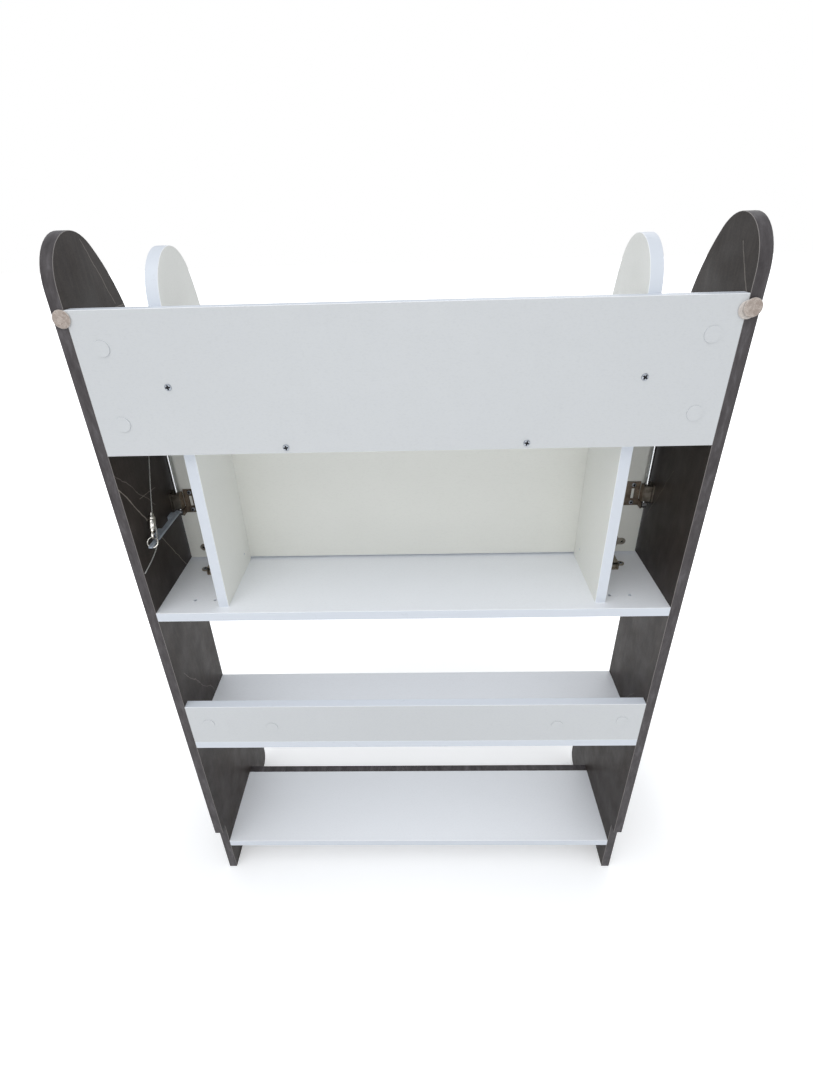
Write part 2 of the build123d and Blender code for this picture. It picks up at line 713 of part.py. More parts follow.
def cable_set():
    """Taut steel cable with its adjustable gripper, snap hook and side bar."""
    foot = grip_foot
    leave = shift(grip_head, run, -4.0)
    route = [
        shift(anchor, run, 5.0),
        leave,
        at(-385.8, 46.6, 140.6),
        at(-384.2, 42.1, 127.8),
        at(-384.4, 37.7, 115.4),
        at(-385.6, 31.5, 102.8),
        at(-389.0, 22.0, 93.0),
        at(-393.5, 10.5, 83.5),
        at(-398.2, 0.0, 75.5),
    ]
    vectors = [Vector(point) for point in route]
    radii = []
    for first, corner, last in zip(vectors, vectors[1:], vectors[2:]):
        before = corner - first
        after = last - corner
        turn = before.get_angle(after)
        shorter = min(before.length, after.length)
        radii.append(0.45 * shorter / tan(radians(turn / 2)))
    print("cord radii", [round(value, 1) for value in radii], "diameter", 2 * CABLE_R)
    with BuildPart() as cable:
        with BuildLine() as path:
            FilletPolyline(*route, radius=radii)
        start = Plane(origin=path.line @ 0, z_dir=path.line % 0)
        with BuildSketch(start):
            Circle(CABLE_R)
        sweep()
    length = sum(edge.length for edge in path.line.edges())
    area = pi * CABLE_R ** 2
    print("cord length", round(length, 1), "volume ratio", round(cable.part.volume / area / length, 4))
    save(cable, "stay_cable")

    along = Plane(origin=foot, x_dir=(1, 0, 0), z_dir=run)
    with BuildPart() as gripper:
        with BuildSketch(Plane(origin=foot, x_dir=(1, 0, 0), z_dir=(0.0, -run[2], run[1]))):
            with BuildLine():
                Polyline(
                    (0.0, 0.0),
                    (3.6, 0.0),
                    (3.6, 3.5),
                    (GRIP_R, 4.5),
                    (GRIP_R, 21.0),
                    (4.4, 22.0),
                    (2.0, GRIP_L),
                    (0.0, GRIP_L),
                    (0.0, 0.0),
                )
            make_face()
        revolve(axis=Axis(foot, run))
        with BuildSketch(along.offset(12.0)):
            Circle(CABLE_R + 0.3)
        extrude(amount=GRIP_L, mode=Mode.SUBTRACT)
        with BuildSketch(along.offset(12.0)):
            with Locations((4.0, 0.4)):
                Rectangle(8.0, 3.6)
        extrude(amount=GRIP_L, mode=Mode.SUBTRACT)
    save(gripper, "cable_gripper")

    with BuildPart() as hook:
        with Locations(Plane(origin=ring, z_dir=(0.0, -run[2], run[1]))):
            Torus(RING_R, RING_WIRE)
        with BuildSketch(Plane(origin=foot, x_dir=(1, 0, 0), z_dir=unit(run, -1))):
            Circle(2.2)
        extrude(amount=9.0)
        with BuildSketch(Plane(origin=foot, x_dir=(1, 0, 0), z_dir=unit(run, -1)).offset(1.0)):
            Circle(3.2)
        extrude(amount=3.0)
    save(hook, "snap_hook")

    low = tongue_z + 0.9
    top = low + 3.0
    with BuildPart() as bar:
        slab(CABLE_X - 4.0, CABLE_X + 4.0, 48.0, 140.0, low, top)
        slab(CABLE_X - 3.0, CABLE_X + 3.0, tongue_d - 7.0, 48.0, low, top)
        for depth in (70.0, 125.0):
            slab(-HALF, CABLE_X - 3.0, depth - 8.0, depth + 8.0, low, top)
            slab(-HALF, -HALF + 1.6, depth - 8.0, depth + 8.0, low - 9.9, top)
        for place, direction in bar_places[:2]:
            bore(place, direction, 1.6 + SCREW_FIT, 3.0)
        for depth in (60.0, 84.0, 108.0, 132.0):
            bore(at(CABLE_X, depth, top), unit(Z_AXIS, -1), 1.5, 1.5)
    save(bar, "cable_bar")

    plate = Plane(origin=anchor, x_dir=(1, 0, 0), z_dir=run)
    with BuildPart() as hanger:
        with BuildSketch(plate):
            with Locations(((-HALF - CABLE_X) / 2 + 3.0, 0.0)):
                Rectangle(HALF + CABLE_X + 6.0, 12.0)
            Circle(CABLE_R + 0.3, mode=Mode.SUBTRACT)
        extrude(amount=-2.0)
        with BuildSketch(plate.offset(-16.0)):
            with Locations((-HALF - CABLE_X + 0.8, 0.0)):
                Rectangle(1.6, 12.0)
        extrude(amount=14.5)
        bore(bar_places[2][0], bar_places[2][1], 1.6 + SCREW_FIT, 3.0)
    save(hanger, "cable_hanger")

    with BuildPart() as ferrule:
        with BuildSketch(plate):
            Circle(2.2)
        extrude(amount=7.0)
        with BuildSketch(plate):
            Circle(CABLE_R)
        extrude(amount=5.0, mode=Mode.SUBTRACT)
    save(ferrule, "cable_ferrule")


for side, name in ((-1, "left"), (1, "right")):
    side_panel(side, "side_panel_" + name)
    divider(side, "divider_" + name)
    hinge_cup(side, "hinge_cup_" + name)
    hinge_base(side, "hinge_base_" + name)
    hinge_arm(side, "hinge_arm_" + name)
    hinge_link(side, "hinge_link_" + name)
    stay_bracket(side, "stay_bracket_" + name)
    stay_rod(side, "stay_rod_" + name)
    stay_block(side, "stay_block_" + name)
    stay_base(side, "stay_base_" + name)

desk_shelf()
lower_shelf("middle_shelf", MID_TOP, SHELF_DEPTH, 0.0, 88.0)
lower_shelf("bottom_shelf", BOTTOM_TOP, BOTTOM_FRONT, NOTCH, 104.0)
rear_panel()
top_board()
middle_rail()
kickboard()
flap()
cable_set()
felt_pads()
dowel_set()
divider_screws()

cam_set("shelf_cams", shelf_cams)
bolt_set("shelf_cam_bolts", shelf_cams)
cam_set("panel_cams", panel_cams)
bolt_set("panel_cam_bolts", panel_cams)
cap_set("panel_cover_caps", panel_cams)
cam_set("rail_cams", rail_cams)
bolt_set("rail_cam_bolts", rail_cams)
cap_set("rail_cover_caps", rail_cams)
cam_set("kickboard_cams", kick_cams)
bolt_set("kickboard_cam_bolts", kick_cams)

rear_places = [(at(x, 0.0, height), Y_AXIS) for x, height in rear_screw_points]
pan_screws("rear_screws", rear_places, 4.5, 1.5, 2.0, 40.0)
cup_places = []
wing_places = []
plate_places = []
stay_places = []
for side in (-1, 1):
    for offset in (-1, 1):
        cup_x = side * HINGE_X + 24.0 * offset
        cup_places.append((at(cup_x, FLAP_D0 - FLANGE_T, CUP_Z), Y_AXIS))
        wing_places.append((at(side * HINGE_X + 16.0 * offset, 126.0, 2.0), unit(Z_AXIS, -1)))
    for height in (102.5, 134.5):
        plate_places.append((at(side * 372.0, FLAP_D0 - 2.0, height), Y_AXIS))
    for height in (113.5, 134.5):
        stay_places.append((at(side * 397.2, STAY_D, height), unit(X_AXIS, side)))
pan_screws("cup_screws", cup_places, 3.2, 1.0, 1.6, 11.0)
pan_screws("hinge_base_screws", wing_places, 3.4, 1.0, 1.6, 14.0)
pan_screws("bracket_screws", plate_places, 3.6, 1.4, 1.6, 12.0)
pan_screws("stay_base_screws", stay_places, 1.6, 0.2, 1.6, 12.0)
pan_screws("bar_screws", bar_places, 3.2, 1.2, 1.6, 11.0)
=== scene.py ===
import json
import math
import random

import bmesh
import bpy
from mathutils import Matrix, Vector


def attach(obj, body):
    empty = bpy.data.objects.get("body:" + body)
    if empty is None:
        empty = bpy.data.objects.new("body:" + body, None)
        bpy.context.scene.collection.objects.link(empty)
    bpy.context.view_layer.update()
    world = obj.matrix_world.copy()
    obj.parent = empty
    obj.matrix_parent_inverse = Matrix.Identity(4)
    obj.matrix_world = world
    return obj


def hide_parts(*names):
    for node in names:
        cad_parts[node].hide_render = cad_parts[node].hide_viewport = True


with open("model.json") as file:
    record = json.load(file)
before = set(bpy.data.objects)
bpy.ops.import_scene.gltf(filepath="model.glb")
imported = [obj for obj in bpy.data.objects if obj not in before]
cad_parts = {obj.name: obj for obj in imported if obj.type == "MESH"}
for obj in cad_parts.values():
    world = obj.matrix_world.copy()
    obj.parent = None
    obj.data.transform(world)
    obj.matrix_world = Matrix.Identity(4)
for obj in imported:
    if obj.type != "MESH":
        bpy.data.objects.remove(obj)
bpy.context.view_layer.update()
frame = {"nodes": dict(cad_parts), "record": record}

NODES = frame["nodes"]
random.seed(11)

MM = 0.001
REAR = -149.5 * MM
DESK = 712.0 * MM


def at(x, depth, height):
    """Point in metres, from mm across, in from the open back and up from the writing surface."""
    return Vector((x * MM, REAR + depth * MM, DESK + height * MM))


# Material helpers
class Nodes:
    """Short hand for building one node material."""

    def __init__(self, name):
        self.material = bpy.data.materials.new(name)
        self.material.use_nodes = True
        self.tree = self.material.node_tree
        self.shader = self.tree.nodes["Principled BSDF"]
        self.coords = self.tree.nodes.new("ShaderNodeTexCoord")

    def node(self, kind):
        return self.tree.nodes.new(kind)

    def link(self, source, target):
        self.tree.links.new(source, target)

    def noise(self, scale, detail=4.0, rough=0.55, distortion=0.0, stretch=(1, 1, 1)):
        mapping = self.node("ShaderNodeMapping")
        mapping.inputs["Scale"].default_value = stretch
        self.link(self.coords.outputs["Object"], mapping.inputs["Vector"])
        made = self.node("ShaderNodeTexNoise")
        made.inputs["Scale"].default_value = scale
        made.inputs["Detail"].default_value = detail
        made.inputs["Roughness"].default_value = rough
        made.inputs["Distortion"].default_value = distortion
        self.link(mapping.outputs[0], made.inputs["Vector"])
        return made.outputs["Fac"]

    def ramp(self, source, stops):
        made = self.node("ShaderNodeValToRGB")
        ramp = made.color_ramp
        while len(ramp.elements) < len(stops):
            ramp.elements.new(0.5)
        for element, (place, colour) in zip(ramp.elements, stops):
            element.position = place
            element.color = (*colour, 1.0)
        self.link(source, made.inputs["Fac"])
        return made.outputs["Color"]

    def mix(self, factor, first, second):
        made = self.node("ShaderNodeMix")
        made.data_type = "RGBA"
        for socket, value in ((made.inputs[0], factor), (made.inputs[6], first), (made.inputs[7], second)):
            if isinstance(value, (int, float)):
                socket.default_value = value
            elif isinstance(value, tuple):
                socket.default_value = (*value, 1.0)
            else:
                self.link(value, socket)
        return made.outputs[2]

    def maths(self, operation, first, second=0.5, clamp=False):
        made = self.node("ShaderNodeMath")
        made.operation = operation
        made.use_clamp = clamp
        for socket, value in zip(made.inputs, (first, second)):
            if isinstance(value, (int, float)):
                socket.default_value = value
            else:
                self.link(value, socket)
        return made.outputs[0]

    def bump(self, height, strength, distance):
        made = self.node("ShaderNodeBump")
        made.inputs["Strength"].default_value = strength
        made.inputs["Distance"].default_value = distance
        self.link(height, made.inputs["Height"])
        self.link(made.outputs[0], self.shader.inputs["Normal"])

    def split(self, source):
        made = self.node("ShaderNodeSeparateXYZ")
        self.link(source, made.inputs[0])
        return made.outputs

    def steepness(self, axis):
        """How squarely a face looks along the piece's own axis, from 0 to 1, in every pose."""
        geometry = self.node("ShaderNodeNewGeometry")
        turned = self.node("ShaderNodeVectorTransform")
        turned.vector_type = "NORMAL"
        turned.convert_from = "WORLD"
        turned.convert_to = "OBJECT"
        self.link(geometry.outputs["True Normal"], turned.inputs[0])
        return self.maths("ABSOLUTE", self.split(turned.outputs[0])["XYZ".index(axis)])

    def facing(self, axis):
        """1 on the broad faces of a board that is thin along the axis, 0 on its edges."""
        return self.maths("GREATER_THAN", self.steepness(axis), 0.6)

    def seam(self, axis):
        """1 on the small chamfer between a broad face and an edge band, where the painted highlight goes."""
        off = self.maths("ABSOLUTE", self.maths("SUBTRACT", self.steepness(axis), 0.70))
        return self.maths("LESS_THAN", off, 0.10)

    def vein(self, start, end, width, sway, strength):
        """Hairline from start to end in the (y, z) plane of a side board, wandering a little."""
        place = self.split(self.coords.outputs["Object"])
        run = Vector((end[0] - start[0], end[1] - start[1]))
        length = run.length
        run.normalize()
        y = self.maths("SUBTRACT", place[1], start[0])
        z = self.maths("SUBTRACT", place[2], start[1])
        along = self.maths("ADD", self.maths("MULTIPLY", y, run.x), self.maths("MULTIPLY", z, run.y))
        across = self.maths("SUBTRACT", self.maths("MULTIPLY", z, run.x), self.maths("MULTIPLY", y, run.y))
        drift = self.maths("MULTIPLY", self.maths("SUBTRACT", self.noise(18.0, 6.0, 0.6), 0.5), sway)
        near = self.maths("ABSOLUTE", self.maths("ADD", across, drift))
        thin = self.maths("MULTIPLY", self.noise(45.0, 3.0, 0.6), 2.0 * width)
        line = self.maths("LESS_THAN", near, thin)
        middle = self.maths("ABSOLUTE", self.maths("SUBTRACT", along, length / 2))
        inside = self.maths("LESS_THAN", middle, length / 2)
        return self.maths("MULTIPLY", self.maths("MULTIPLY", line, inside), strength)

    def set(self, **values):
        for key, value in values.items():
            self.shader.inputs[key.replace("_", " ")].default_value = value


def srgb(red, green, blue):
    """Linear colour from 0 to 255 screen values."""
    out = []
    for value in (red, green, blue):
        value /= 255.0
        out.append(value / 12.92 if value <= 0.04045 else ((value + 0.055) / 1.055) ** 2.4)
    return tuple(out)


def stone_material(name, veins):
    """Dark stone-pattern laminate with hairline veins and a plainer, lighter edge band."""
    m = Nodes(name)
    clouds = m.noise(7.0, 8.0, 0.62, 0.5, (1.0, 1.0, 0.7))
    tone = m.ramp(clouds, [
        (0.28, srgb(38, 33, 31)),
        (0.46, srgb(48, 42, 38)),
        (0.60, srgb(53, 46, 43)),
        (0.78, srgb(64, 57, 52)),
    ])
    bands = m.noise(3.2, 4.0, 0.55, 1.6, (1.0, 2.0, 0.55))
    tone = m.mix(m.ramp(bands, [(0.38, (0.55,) * 3), (0.5, (0, 0, 0))]), tone, srgb(30, 25, 24))
    streaks = m.noise(150.0, 5.0, 0.65, 0.4, (1.0, 1.0, 0.22))
    streak_tone = m.ramp(streaks, [
        (0.32, srgb(29, 24, 22)),
        (0.5, srgb(50, 43, 40)),
        (0.7, srgb(77, 68, 62)),
    ])
    tone = m.mix(0.30, tone, streak_tone)
    grain = m.noise(420.0, 4.0, 0.7)
    tone = m.mix(0.20, tone, m.ramp(grain, [(0.35, srgb(27, 23, 22)), (0.68, srgb(83, 75, 69))]))
    for start, end, width, sway, strength in veins:
        tone = m.mix(m.vein(start, end, width, sway, strength), tone, srgb(150, 142, 134))
    edge_noise = m.noise(90.0, 6.0, 0.65, 0.0, (1.0, 0.3, 0.3))
    edge = m.ramp(edge_noise, [(0.3, srgb(60, 56, 57)), (0.55, srgb(80, 76, 77)), (0.75, srgb(102, 99, 101))])
    tone = m.mix(m.facing("X"), edge, tone)
    # Painted highlight: a pale line on the edge chamfers, standing for the light the board's edges catch.
    tone = m.mix(m.maths("MULTIPLY", m.seam("X"), 0.8), tone, srgb(150, 145, 142))
    m.link(tone, m.shader.inputs["Base Color"])
    rough = m.ramp(m.noise(24.0, 5.0), [(0.3, (0.40,) * 3), (0.7, (0.56,) * 3)])
    m.link(rough, m.shader.inputs["Roughness"])
    m.set(Specular_IOR_Level=0.20)
    m.bump(m.mix(0.5, streaks, grain), 0.22, 0.0004)
    return m.material


def white_material(name, face, edge, mottle, axis):
    """White melamine board: pearl-textured face, small tone drift, cooler smooth edge band."""
    m = Nodes(name)
    drift = m.noise(2.2, 4.0, 0.5)
    low = tuple(c * (1.0 - mottle) for c in face)
    shaded = tuple(c * 0.86 for c in face)
    tone = m.ramp(drift, [(0.35, low), (0.65, face)])
    pearl = m.noise(520.0, 3.0, 0.6, 0.0, (0.45, 1.0, 1.0))
    tone = m.mix(m.ramp(pearl, [(0.50, (0, 0, 0)), (0.72, (0.30,) * 3)]), tone, shaded)
    smudge = m.noise(9.0, 6.0, 0.65, 0.6)
    tone = m.mix(m.ramp(smudge, [(0.60, (0, 0, 0)), (0.80, (0.20,) * 3)]), tone, shaded)
    nicks = m.noise(70.0, 6.0, 0.75, 0.2)
    band = m.mix(m.ramp(nicks, [(0.60, (0, 0, 0)), (0.74, (0.5,) * 3)]), edge, tuple(c * 0.80 for c in edge))
    tone = m.mix(m.facing(axis), band, tone)
    # Painted highlight: a near-white line on the edge chamfers, standing for the light the board's edges
    # catch.
    tone = m.mix(m.maths("MULTIPLY", m.seam(axis), 0.8), tone, srgb(250, 252, 254))
    m.link(tone, m.shader.inputs["Base Color"])
    rough = m.ramp(m.noise(40.0, 4.0), [(0.3, (0.38,) * 3), (0.7, (0.52,) * 3)])
    m.link(rough, m.shader.inputs["Roughness"])
    m.bump(m.mix(0.5, pearl, m.noise(1100.0, 2.0, 0.5)), 0.20, 0.0003)
    return m.material


def metal_material(name, tone, dark, roughness, stretch=(1, 1, 1), tarnish=0.35):
    """Plated metal with brushing along one direction and faint tarnish."""
    m = Nodes(name)
    stain = m.noise(90.0, 5.0, 0.6)
    colour = m.mix(m.ramp(stain, [(0.42, (0, 0, 0)), (0.70, (tarnish,) * 3)]), tone, dark)
    m.link(colour, m.shader.inputs["Base Color"])
    brushed = m.noise(700.0, 3.0, 0.6, 0.0, stretch)
    rough = m.ramp(brushed, [(0.3, (roughness * 0.8,) * 3), (0.7, (roughness * 1.35,) * 3)])
    m.link(rough, m.shader.inputs["Roughness"])
    m.set(Metallic=1.0)
    m.bump(brushed, 0.10, 0.0001)
    return m.material


def felt_material(name, lift):
    """Pressed wool felt: matted fibres, warm beige, soft sheen."""
    m = Nodes(name)
    fibres = m.noise(1500.0, 6.0, 0.75, 2.5)
    clumps = m.noise(210.0, 5.0, 0.68, 1.2)
    tone = m.ramp(fibres, [
        (0.34, srgb(138, 122, 110)),
        (0.50, srgb(192, 178, 167)),
        (0.66, srgb(232, 226, 220)),
    ])
    tone = m.mix(m.ramp(clumps, [(0.42, (0, 0, 0)), (0.62, (0.7,) * 3)]), tone, srgb(150, 132, 120))
    rim = m.maths("SUBTRACT", 1.0, m.facing("Y"))
    tone = m.mix(m.maths("MULTIPLY", rim, 0.6), tone, srgb(226, 216, 206))
    tone = m.mix(lift, tone, srgb(236, 231, 225))
    m.link(tone, m.shader.inputs["Base Color"])
    m.set(Roughness=0.95, Sheen_Weight=0.5, Sheen_Roughness=0.5)
    m.bump(m.mix(0.5, fibres, clumps), 0.9, 0.0011)
    return m.material


def cable_material():
    """Stranded steel cable: lay lines run round the curve."""
    m = Nodes("stranded_steel")
    wave = m.node("ShaderNodeTexWave")
    wave.wave_type = "BANDS"
    wave.bands_direction = "DIAGONAL"
    mapping = m.node("ShaderNodeMapping")
    mapping.inputs["Scale"].default_value = (90.0, 3.0, 1.0)
    m.link(m.coords.outputs["UV"], mapping.inputs["Vector"])
    m.link(mapping.outputs[0], wave.inputs["Vector"])
    wave.inputs["Scale"].default_value = 1.0
    tone = m.ramp(wave.outputs["Fac"], [
        (0.1, srgb(96, 96, 94)),
        (0.5, srgb(186, 186, 182)),
        (1.0, srgb(214, 214, 210)),
    ])
    m.link(tone, m.shader.inputs["Base Color"])
    m.set(Metallic=0.9, Roughness=0.38)
    m.bump(wave.outputs["Fac"], 0.6, 0.0003)
    return m.material


def beech_material():
    """Beech dowel grain along the pin."""
    m = Nodes("beech_grain")
    grain = m.noise(260.0, 5.0, 0.6, 0.4, (0.06, 1.0, 1.0))
    tone = m.ramp(grain, [
        (0.3, srgb(176, 138, 98)),
        (0.55, srgb(208, 172, 130)),
        (0.75, srgb(222, 190, 150)),
    ])
    m.link(tone, m.shader.inputs["Base Color"])
    m.set(Roughness=0.62)
    m.bump(grain, 0.3, 0.0002)
    return m.material


def painted_material():
    """Light grey painted flat bar, slightly scuffed."""
    m = Nodes("grey_paint")
    scuff = m.noise(160.0, 6.0, 0.7, 0.3, (1.0, 0.2, 1.0))
    tone = m.ramp(scuff, [
        (0.30, srgb(140, 148, 158)),
        (0.55, srgb(172, 180, 190)),
        (0.78, srgb(196, 202, 210)),
    ])
    m.link(tone, m.shader.inputs["Base Color"])
    m.set(Roughness=0.42, Metallic=0.15)
    m.bump(scuff, 0.2, 0.0002)
    return m.material


LEFT_VEINS = [
    ((-0.151, 0.932), (-0.070, 0.806), 0.0011, 0.010, 0.85),
    ((-0.070, 0.806), (-0.006, 0.711), 0.0008, 0.010, 0.60),
    ((-0.159, 0.961), (-0.060, 0.858), 0.0006, 0.014, 0.40),
    ((-0.101, 0.889), (-0.046, 0.882), 0.0006, 0.006, 0.55),
    ((-0.067, 1.232), (-0.018, 1.150), 0.0007, 0.012, 0.40),
    ((-0.022, 1.146), (0.034, 1.147), 0.0007, 0.008, 0.45),
    ((-0.120, 0.560), (0.060, 0.300), 0.0006, 0.030, 0.30),
]
RIGHT_VEINS = [
    ((-0.104, 1.212), (-0.141, 1.160), 0.0008, 0.010, 0.50),
    ((-0.156, 0.935), (-0.149, 0.740), 0.0006, 0.012, 0.45),
    ((-0.060, 0.900), (0.020, 0.770), 0.0005, 0.020, 0.25),
    ((-0.100, 0.480), (0.050, 0.250), 0.0006, 0.030, 0.28),
]
PLINTH_VEINS = [((-0.1, 0.05), (0.1, 0.06), 0.0006, 0.01, 0.2)]
STONE_LEFT = stone_material("dark_stone_left", LEFT_VEINS)
STONE_RIGHT = stone_material("dark_stone_right", RIGHT_VEINS)
STONE_PLINTH = stone_material("dark_stone_plinth", PLINTH_VEINS)
# Painted shade: the uprights (rear panel, middle rail) and their cover caps get a much darker copy of the
# white laminate than the shelves, standing for the shade they stand in.
SHADED_UPRIGHT_WHITE = srgb(208, 210, 211)
WARM = srgb(238, 238, 232)
BAND = srgb(216, 221, 228)
WHITE_Y = white_material("white_upright_board_painted_shade", SHADED_UPRIGHT_WHITE, BAND, 0.03, "Y")
WHITE_Z = white_material("white_shelf_board", srgb(240, 242, 245), BAND, 0.03, "Z")
WHITE_X = white_material("white_divider_board", WARM, BAND, 0.04, "X")
# Painted shade: the flap gets a slightly darker, greyer white than the shelves, standing for the shade on it.
WHITE_FLAP = white_material("white_flap_board_painted_shade", srgb(230, 230, 223), BAND, 0.05, "Y")
# Painted shade: the cover caps take the same darker white as the uprights they sit on.
CAP = white_material("cover_cap_plastic", SHADED_UPRIGHT_WHITE, SHADED_UPRIGHT_WHITE, 0.02, "Y")
NICKEL = metal_material("nickel_plate", srgb(172, 164, 152), srgb(72, 62, 54), 0.26)
HOUSING = metal_material("cast_nickel", srgb(150, 142, 130), srgb(62, 54, 47), 0.34, (1, 1, 0.2), 0.7)
BRONZE = metal_material("bronzed_plate", srgb(122, 111, 99), srgb(50, 43, 37), 0.30, (1, 1, 1), 0.6)
ROD = metal_material("polished_rod_steel", srgb(206, 208, 210), srgb(120, 118, 114), 0.18, (1, 1, 0.05), 0.15)
ZINC = metal_material("zinc_plate", srgb(158, 163, 170), srgb(92, 95, 100), 0.34)
BRIGHT = metal_material("bright_nickel", srgb(222, 219, 212), srgb(96, 88, 78), 0.14, (1, 1, 1), 0.3)
GAP = white_material("cap_gap_shadow", srgb(176, 180, 184), srgb(176, 180, 184), 0.05, "Y")
# Painted shade: near-black metal for the floor and walls of each cross recess, standing for the shade inside
# it.
RECESS_PAINTED_SHADE = metal_material("recess_painted_shade", srgb(46, 46, 48), srgb(20, 20, 22), 0.6)
FELT = felt_material("wool_felt", 0.0)
FELT_PALE = felt_material("wool_felt_pale", 0.45)
CABLE = cable_material()
BEECH = beech_material()
PAINT = painted_material()

SLOT_MATERIAL = {
    "dark_stone_laminate": STONE_PLINTH,
    "white_laminate": WHITE_Z,
    "nickel_plated_steel": NICKEL,
    "polished_rod": ROD,
    "zinc_cast_housing": HOUSING,
    "zinc_plated_steel": ZINC,
    "felt": FELT,
    "beech": BEECH,
    "cap_plastic": CAP,
    "steel_cable": CABLE,
    "bright_plated_brass": BRIGHT,
    "grey_bar": PAINT,
}

OWN_MATERIAL = {
    "side_panel_left": STONE_LEFT,
    "side_panel_right": STONE_RIGHT,
    "rear_panel": WHITE_Y,
    "middle_rail": WHITE_Y,
    "flap": WHITE_FLAP,
    "divider_left": WHITE_X,
    "divider_right": WHITE_X,
    "stay_bracket_left": BRONZE,
    "stay_bracket_right": BRONZE,
}

for entry in frame["record"]["subparts"]:
    node = NODES[entry["node"]]
    material = OWN_MATERIAL.get(entry["node"], SLOT_MATERIAL[entry["material_slot"]])
    for index in range(len(node.material_slots)):
        node.material_slots[index].material = material


# Mesh helpers
def finish_mesh(name, mesh, material, body, smooth=True):
    """Turns a bmesh into a piece that rides on a body."""
    data = bpy.data.meshes.new(name)
    bmesh.ops.recalc_face_normals(mesh, faces=mesh.faces)
    mesh.to_mesh(data)
    mesh.free()
    if smooth:
        for polygon in data.polygons:
            polygon.use_smooth = True
    data.materials.append(material)
    piece = bpy.data.objects.new(name, data)
    bpy.context.scene.collection.objects.link(piece)
    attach(piece, body)
    return piece


def add_bevel(piece, width, segments=2):
    """Softens the sharp edges of a piece: one segment is a chamfer, more are a round."""
    modifier = piece.modifiers.new("soft_edges", "BEVEL")
    modifier.width = width
    modifier.segments = segments
    modifier.limit_method = "ANGLE"
    modifier.angle_limit = math.radians(40)


def lathe(mesh, profile, origin, axis, steps, wobble=0.0):
    """Turns (radius, height) points round an axis through the origin, wobbling each radius by a share."""
    axis = Vector(axis).normalized()
    turn = axis.to_track_quat("Z", "Y").to_matrix()
    rings = []
    for radius, height in profile:
        if radius < 1e-7:
            rings.append([mesh.verts.new(origin + turn @ Vector((0, 0, height)))])
            continue
        ring = []
        for step in range(steps):
            angle = 2 * math.pi * step / steps
            size = radius * (1 + wobble * (random.random() - 0.5))
            ring.append(mesh.verts.new(
                origin + turn @ Vector((size * math.cos(angle), size * math.sin(angle), height))
            ))
        rings.append(ring)
    for low, high in zip(rings, rings[1:]):
        for step in range(steps):
            after = (step + 1) % steps
            corners = [low[step % len(low)], low[after % len(low)]]
            corners += [high[after % len(high)], high[step % len(high)]]
            unique = list(dict.fromkeys(corners))
            if len(unique) >= 3:
                mesh.faces.new(unique)


def tube(mesh, points, radius, steps):
    """Round bar along a list of points."""
    count = len(points)
    rings = []
    up = Vector((0.31, 0.47, 0.83)).normalized()
    for index, point in enumerate(points):
        before = points[max(index - 1, 0)]
        after = points[min(index + 1, count - 1)]
        along = (after - before).normalized()
        side = along.cross(up).normalized()
        other = side.cross(along).normalized()
        size = radius[index] if isinstance(radius, list) else radius
        rings.append([
            mesh.verts.new(point + size * (math.cos(a) * side + math.sin(a) * other))
            for a in (2 * math.pi * step / steps for step in range(steps))
        ])
    for low, high in zip(rings, rings[1:]):
        for step in range(steps):
            after = (step + 1) % steps
            mesh.faces.new((low[step], low[after], high[after], high[step]))
    mesh.faces.new(rings[0][::-1])
    mesh.faces.new(rings[-1])


# Felt pads
def felt_pad(name, node, centre, material):
    """Slightly squashed, frayed felt disc."""
    mesh = bmesh.new()
    thick = 2.9 * MM
    profile = [(0, 0.0), (6.0 * MM, 0.0), (9.9 * MM, 0.0), (10.8 * MM, 0.7 * MM), (10.9 * MM, 1.7 * MM),
               (10.2 * MM, 2.55 * MM), (8.8 * MM, thick), (6.0 * MM, thick * 0.985), (3.0 * MM, thick * 0.97),
               (0, thick * 0.96)]
    lathe(mesh, profile, Vector(centre), (0, -1, 0), 72, 0.018)
    for vertex in mesh.verts:
        vertex.co += Vector([(random.random() - 0.5) * 0.16 * MM for _ in range(3)])
    for vertex in mesh.verts:
        vertex.co.y = min(vertex.co.y, centre[1] - 0.02 * MM)
    pad = finish_mesh(name, mesh, material, "cabinet")
    detail = pad.modifiers.new("fibres", "SUBSURF")
    detail.levels = 1
    detail.render_levels = 2
    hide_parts(node)


felt_pad("felt_pad_left_wool", "felt_pad_left", at(-405.0, 0.0, 439.0), FELT)
felt_pad("felt_pad_right_wool", "felt_pad_right", at(401.0, 0.0, 431.0), FELT_PALE)
felt_pad("felt_pad_upper_wool", "felt_pad_upper", at(405.0, -3.0, 433.5), FELT)


# Screws
RECESS_ARM = 0.72
RECESS_SLOT = 0.24


